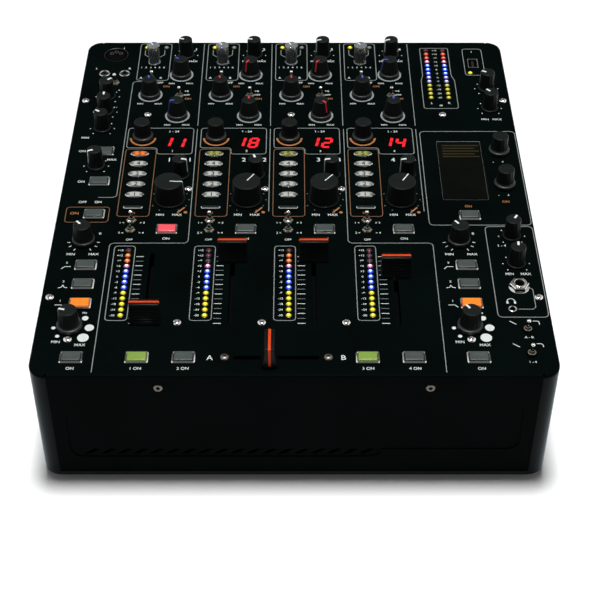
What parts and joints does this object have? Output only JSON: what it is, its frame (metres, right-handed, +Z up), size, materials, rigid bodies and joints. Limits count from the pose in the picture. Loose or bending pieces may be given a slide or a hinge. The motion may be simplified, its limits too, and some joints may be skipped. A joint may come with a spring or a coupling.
{
  "type": "dj mixer",
  "caption": "Black steel desktop audio mixer: flat panel with channel faders, crossfader, rotary knobs, lit push buttons, toggles, level meters and a small screen",
  "frame": {"origin": "on the floor under the middle of the object's bounding box", "axes": "+X to the user's right, +Y to the rear with the sockets, +Z up"},
  "size_m": [0.32, 0.372, 0.1114],
  "materials": {
    "case_paint": "satin black paint",
    "board": "matt board",
    "supply": "plain",
    "plated_steel": "bright plated",
    "bezel_chrome": "bright",
    "socket": "moulded black",
    "lens": "clear lens",
    "rubber": "matt",
    "knob_black": "soft matt",
    "clear_knob": "clear",
    "fader_cap": "satin with coloured line",
    "square_button": "translucent grey",
    "oval_button": "translucent pale grey",
    "lever": "bright"
  },
  "bodies": {
    "chassis": {"top_panel": "case_paint", "front_panel": "case_paint", "side_panels": "case_paint", "rear_panel": "case_paint", "base_plate": "case_paint", "control_board": "board", "power_supply": "supply", "control_bodies": "plated_steel", "button_bezels": "bezel_chrome", "panel_sockets": "socket", "rear_sockets": "socket", "indicator_lenses": "lens", "screws_and_pillars": "plated_steel", "rubber_feet": "rubber", "side_knobs": "knob_black"},
    "channel_1_fader": {"channel_1_fader": "fader_cap"},
    "channel_1_trim_knob": {"channel_1_trim_knob": "knob_black"},
    "channel_1_high_knob": {"channel_1_high_knob": "knob_black"},
    "channel_1_mid_knob": {"channel_1_mid_knob": "knob_black"},
    "channel_1_low_knob": {"channel_1_low_knob": "knob_black"},
    "channel_1_input_knob": {"channel_1_input_knob": "clear_knob"},
    "channel_1_effect_knob": {"channel_1_effect_knob": "knob_black"},
    "channel_1_wet_knob": {"channel_1_wet_knob": "knob_black"},
    "channel_1_step_encoder": {"channel_1_step_encoder": "knob_black"},
    "channel_2_fader": {"channel_2_fader": "fader_cap"},
    "channel_2_trim_knob": {"channel_2_trim_knob": "knob_black"},
    "channel_2_high_knob": {"channel_2_high_knob": "knob_black"},
    "channel_2_mid_knob": {"channel_2_mid_knob": "knob_black"},
    "channel_2_low_knob": {"channel_2_low_knob": "knob_black"},
    "channel_2_input_knob": {"channel_2_input_knob": "clear_knob"},
    "channel_2_effect_knob": {"channel_2_effect_knob": "knob_black"},
    "channel_2_wet_knob": {"channel_2_wet_knob": "knob_black"},
    "channel_2_step_encoder": {"channel_2_step_encoder": "knob_black"},
    "channel_3_fader": {"channel_3_fader": "fader_cap"},
    "channel_3_trim_knob": {"channel_3_trim_knob": "knob_black"},
    "channel_3_high_knob": {"channel_3_high_knob": "knob_black"},
    "channel_3_mid_knob": {"channel_3_mid_knob": "knob_black"},
    "channel_3_low_knob": {"channel_3_low_knob": "knob_black"},
    "channel_3_input_knob": {"channel_3_input_knob": "clear_knob"},
    "channel_3_effect_knob": {"channel_3_effect_knob": "knob_black"},
    "channel_3_wet_knob": {"channel_3_wet_knob": "knob_black"},
    "channel_3_step_encoder": {"channel_3_step_encoder": "knob_black"},
    "channel_4_fader": {"channel_4_fader": "fader_cap"},
    "channel_4_trim_knob": {"channel_4_trim_knob": "knob_black"},
    "channel_4_high_knob": {"channel_4_high_knob": "knob_black"},
    "channel_4_mid_knob": {"channel_4_mid_knob": "knob_black"},
    "channel_4_low_knob": {"channel_4_low_knob": "knob_black"},
    "channel_4_input_knob": {"channel_4_input_knob": "clear_knob"},
    "channel_4_effect_knob": {"channel_4_effect_knob": "knob_black"},
    "channel_4_wet_knob": {"channel_4_wet_knob": "knob_black"},
    "channel_4_step_encoder": {"channel_4_step_encoder": "knob_black"},
    "crossfader": {"crossfader": "fader_cap"},
    "left_resonance_knob": {"left_resonance_knob": "knob_black"},
    "left_frequency_knob": {"left_frequency_knob": "knob_black"},
    "right_resonance_knob": {"right_resonance_knob": "knob_black"},
    "right_frequency_knob": {"right_frequency_knob": "knob_black"},
    "push_buttons": {"push_buttons": "square_button"},
    "effect_buttons": {"effect_buttons": "oval_button"},
    "left_tone_toggles": {"left_tone_toggles": "lever"},
    "right_tone_toggles": {"right_tone_toggles": "lever"}
  },
  "joints": [
    {"name": "channel_1_fader_slide", "type": "slide", "parent": "chassis", "child": "channel_1_fader", "axis": [0, 1, 0], "range_m": [-0.0005, 0.0595]},
    {"name": "channel_1_trim_knob_turn", "type": "hinge", "parent": "chassis", "child": "channel_1_trim_knob", "pos_m": [-0.0832, 0.159, 0.095], "axis": [0, 0, 1], "range_deg": [-230, 70]},
    {"name": "channel_1_high_knob_turn", "type": "hinge", "parent": "chassis", "child": "channel_1_high_knob", "pos_m": [-0.0855, 0.1324, 0.095], "axis": [0, 0, 1], "range_deg": [-210, 90]},
    {"name": "channel_1_mid_knob_turn", "type": "hinge", "parent": "chassis", "child": "channel_1_mid_knob", "pos_m": [-0.1072, 0.106, 0.095], "axis": [0, 0, 1], "range_deg": [-160, 140]},
    {"name": "channel_1_low_knob_turn", "type": "hinge", "parent": "chassis", "child": "channel_1_low_knob", "pos_m": [-0.0855, 0.0795, 0.095], "axis": [0, 0, 1], "range_deg": [-255, 45]},
    {"name": "channel_1_input_knob_turn", "type": "hinge", "parent": "chassis", "child": "channel_1_input_knob", "pos_m": [-0.1072, 0.1486, 0.095], "axis": [0, 0, 1], "range_deg": [-60, 0]},
    {"name": "channel_1_effect_knob_turn", "type": "hinge", "parent": "chassis", "child": "channel_1_effect_knob", "pos_m": [-0.0791, 0.0085, 0.095], "axis": [0, 0, 1], "range_deg": [-45, 255]},
    {"name": "channel_1_wet_knob_turn", "type": "hinge", "parent": "chassis", "child": "channel_1_wet_knob", "pos_m": [-0.0848, -0.0185, 0.095], "axis": [0, 0, 1], "range_deg": [-55, 245]},
    {"name": "channel_1_step_encoder_turn", "type": "hinge", "parent": "chassis", "child": "channel_1_step_encoder", "pos_m": [-0.1085, 0.0522, 0.095], "axis": [0, 0, 1], "continuous": true},
    {"name": "channel_2_fader_slide", "type": "slide", "parent": "chassis", "child": "channel_2_fader", "axis": [0, 1, 0], "range_m": [-0.0595, 0.0005]},
    {"name": "channel_2_trim_knob_turn", "type": "hinge", "parent": "chassis", "child": "channel_2_trim_knob", "pos_m": [-0.0307, 0.159, 0.095], "axis": [0, 0, 1], "range_deg": [-235, 65]},
    {"name": "channel_2_high_knob_turn", "type": "hinge", "parent": "chassis", "child": "channel_2_high_knob", "pos_m": [-0.033, 0.1324, 0.095], "axis": [0, 0, 1], "range_deg": [-295, 5]},
    {"name": "channel_2_mid_knob_turn", "type": "hinge", "parent": "chassis", "child": "channel_2_mid_knob", "pos_m": [-0.0547, 0.106, 0.095], "axis": [0, 0, 1], "range_deg": [-160, 140]},
    {"name": "channel_2_low_knob_turn", "type": "hinge", "parent": "chassis", "child": "channel_2_low_knob", "pos_m": [-0.033, 0.0795, 0.095], "axis": [0, 0, 1], "range_deg": [-150, 150]},
    {"name": "channel_2_input_knob_turn", "type": "hinge", "parent": "chassis", "child": "channel_2_input_knob", "pos_m": [-0.0547, 0.1486, 0.095], "axis": [0, 0, 1], "range_deg": [-60, 0]},
    {"name": "channel_2_effect_knob_turn", "type": "hinge", "parent": "chassis", "child": "channel_2_effect_knob", "pos_m": [-0.0266, 0.0085, 0.095], "axis": [0, 0, 1], "range_deg": [-170, 130]},
    {"name": "channel_2_wet_knob_turn", "type": "hinge", "parent": "chassis", "child": "channel_2_wet_knob", "pos_m": [-0.0323, -0.0185, 0.095], "axis": [0, 0, 1], "range_deg": [-116, 184]},
    {"name": "channel_2_step_encoder_turn", "type": "hinge", "parent": "chassis", "child": "channel_2_step_encoder", "pos_m": [-0.056, 0.0522, 0.095], "axis": [0, 0, 1], "continuous": true},
    {"name": "channel_3_fader_slide", "type": "slide", "parent": "chassis", "child": "channel_3_fader", "axis": [0, 1, 0], "range_m": [-0.0595, 0.0005]},
    {"name": "channel_3_trim_knob_turn", "type": "hinge", "parent": "chassis", "child": "channel_3_trim_knob", "pos_m": [0.0218, 0.159, 0.095], "axis": [0, 0, 1], "range_deg": [-262, 38]},
    {"name": "channel_3_high_knob_turn", "type": "hinge", "parent": "chassis", "child": "channel_3_high_knob", "pos_m": [0.0195, 0.1324, 0.095], "axis": [0, 0, 1], "range_deg": [-295, 5]},
    {"name": "channel_3_mid_knob_turn", "type": "hinge", "parent": "chassis", "child": "channel_3_mid_knob", "pos_m": [-0.0022, 0.106, 0.095], "axis": [0, 0, 1], "range_deg": [-150, 150]},
    {"name": "channel_3_low_knob_turn", "type": "hinge", "parent": "chassis", "child": "channel_3_low_knob", "pos_m": [0.0195, 0.0795, 0.095], "axis": [0, 0, 1], "range_deg": [-10, 290]},
    {"name": "channel_3_input_knob_turn", "type": "hinge", "parent": "chassis", "child": "channel_3_input_knob", "pos_m": [-0.0022, 0.1486, 0.095], "axis": [0, 0, 1], "range_deg": [-60, 0]},
    {"name": "channel_3_effect_knob_turn", "type": "hinge", "parent": "chassis", "child": "channel_3_effect_knob", "pos_m": [0.0259, 0.0085, 0.095], "axis": [0, 0, 1], "range_deg": [-255, 45]},
    {"name": "channel_3_wet_knob_turn", "type": "hinge", "parent": "chassis", "child": "channel_3_wet_knob", "pos_m": [0.0202, -0.0185, 0.095], "axis": [0, 0, 1], "range_deg": [-110, 190]},
    {"name": "channel_3_step_encoder_turn", "type": "hinge", "parent": "chassis", "child": "channel_3_step_encoder", "pos_m": [-0.0035, 0.0522, 0.095], "axis": [0, 0, 1], "continuous": true},
    {"name": "channel_4_fader_slide", "type": "slide", "parent": "chassis", "child": "channel_4_fader", "axis": [0, 1, 0], "range_m": [-0.044, 0.016]},
    {"name": "channel_4_trim_knob_turn", "type": "hinge", "parent": "chassis", "child": "channel_4_trim_knob", "pos_m": [0.0743, 0.159, 0.095], "axis": [0, 0, 1], "range_deg": [-262, 38]},
    {"name": "channel_4_high_knob_turn", "type": "hinge", "parent": "chassis", "child": "channel_4_high_knob", "pos_m": [0.072, 0.1324, 0.095], "axis": [0, 0, 1], "range_deg": [-250, 50]},
    {"name": "channel_4_mid_knob_turn", "type": "hinge", "parent": "chassis", "child": "channel_4_mid_knob", "pos_m": [0.0503, 0.106, 0.095], "axis": [0, 0, 1], "range_deg": [-150, 150]},
    {"name": "channel_4_low_knob_turn", "type": "hinge", "parent": "chassis", "child": "channel_4_low_knob", "pos_m": [0.072, 0.0795, 0.095], "axis": [0, 0, 1], "range_deg": [-150, 150]},
    {"name": "channel_4_input_knob_turn", "type": "hinge", "parent": "chassis", "child": "channel_4_input_knob", "pos_m": [0.0503, 0.1486, 0.095], "axis": [0, 0, 1], "range_deg": [-60, 0]},
    {"name": "channel_4_effect_knob_turn", "type": "hinge", "parent": "chassis", "child": "channel_4_effect_knob", "pos_m": [0.0784, 0.0085, 0.095], "axis": [0, 0, 1], "range_deg": [-255, 45]},
    {"name": "channel_4_wet_knob_turn", "type": "hinge", "parent": "chassis", "child": "channel_4_wet_knob", "pos_m": [0.0727, -0.0185, 0.095], "axis": [0, 0, 1], "range_deg": [-119, 181]},
    {"name": "channel_4_step_encoder_turn", "type": "hinge", "parent": "chassis", "child": "channel_4_step_encoder", "pos_m": [0.049, 0.0522, 0.095], "axis": [0, 0, 1], "continuous": true},
    {"name": "crossfader_slide", "type": "slide", "parent": "chassis", "child": "crossfader", "axis": [1, 0, 0], "range_m": [-0.0185, 0.0265]},
    {"name": "left_resonance_knob_turn", "type": "hinge", "parent": "chassis", "child": "left_resonance_knob", "pos_m": [-0.1388, -0.0623, 0.095], "axis": [0, 0, 1], "range_deg": [-195, 105]},
    {"name": "left_frequency_knob_turn", "type": "hinge", "parent": "chassis", "child": "left_frequency_knob", "pos_m": [-0.1388, -0.144, 0.095], "axis": [0, 0, 1], "range_deg": [-230, 70]},
    {"name": "right_resonance_knob_turn", "type": "hinge", "parent": "chassis", "child": "right_resonance_knob", "pos_m": [0.1085, -0.0623, 0.095], "axis": [0, 0, 1], "range_deg": [-188, 112]},
    {"name": "right_frequency_knob_turn", "type": "hinge", "parent": "chassis", "child": "right_frequency_knob", "pos_m": [0.1085, -0.144, 0.095], "axis": [0, 0, 1], "range_deg": [-185, 115]},
    {"name": "push_buttons_slide", "type": "slide", "parent": "chassis", "child": "push_buttons", "axis": [0, 0, 1], "range_m": [-0.001, 0], "stiffness_N_per_m": 600, "springref_m": 0.002},
    {"name": "effect_buttons_slide", "type": "slide", "parent": "chassis", "child": "effect_buttons", "axis": [0, 0, 1], "range_m": [-0.001, 0], "stiffness_N_per_m": 600, "springref_m": 0.002},
    {"name": "left_tone_toggles_tilt", "type": "hinge", "parent": "chassis", "child": "left_tone_toggles", "pos_m": [0, 0.125, 0.0938], "axis": [1, 0, 0], "range_deg": [-10, 10]},
    {"name": "right_tone_toggles_tilt", "type": "hinge", "parent": "chassis", "child": "right_tone_toggles", "pos_m": [0, 0.104, 0.0938], "axis": [1, 0, 0], "range_deg": [-10, 10]}
  ]
}
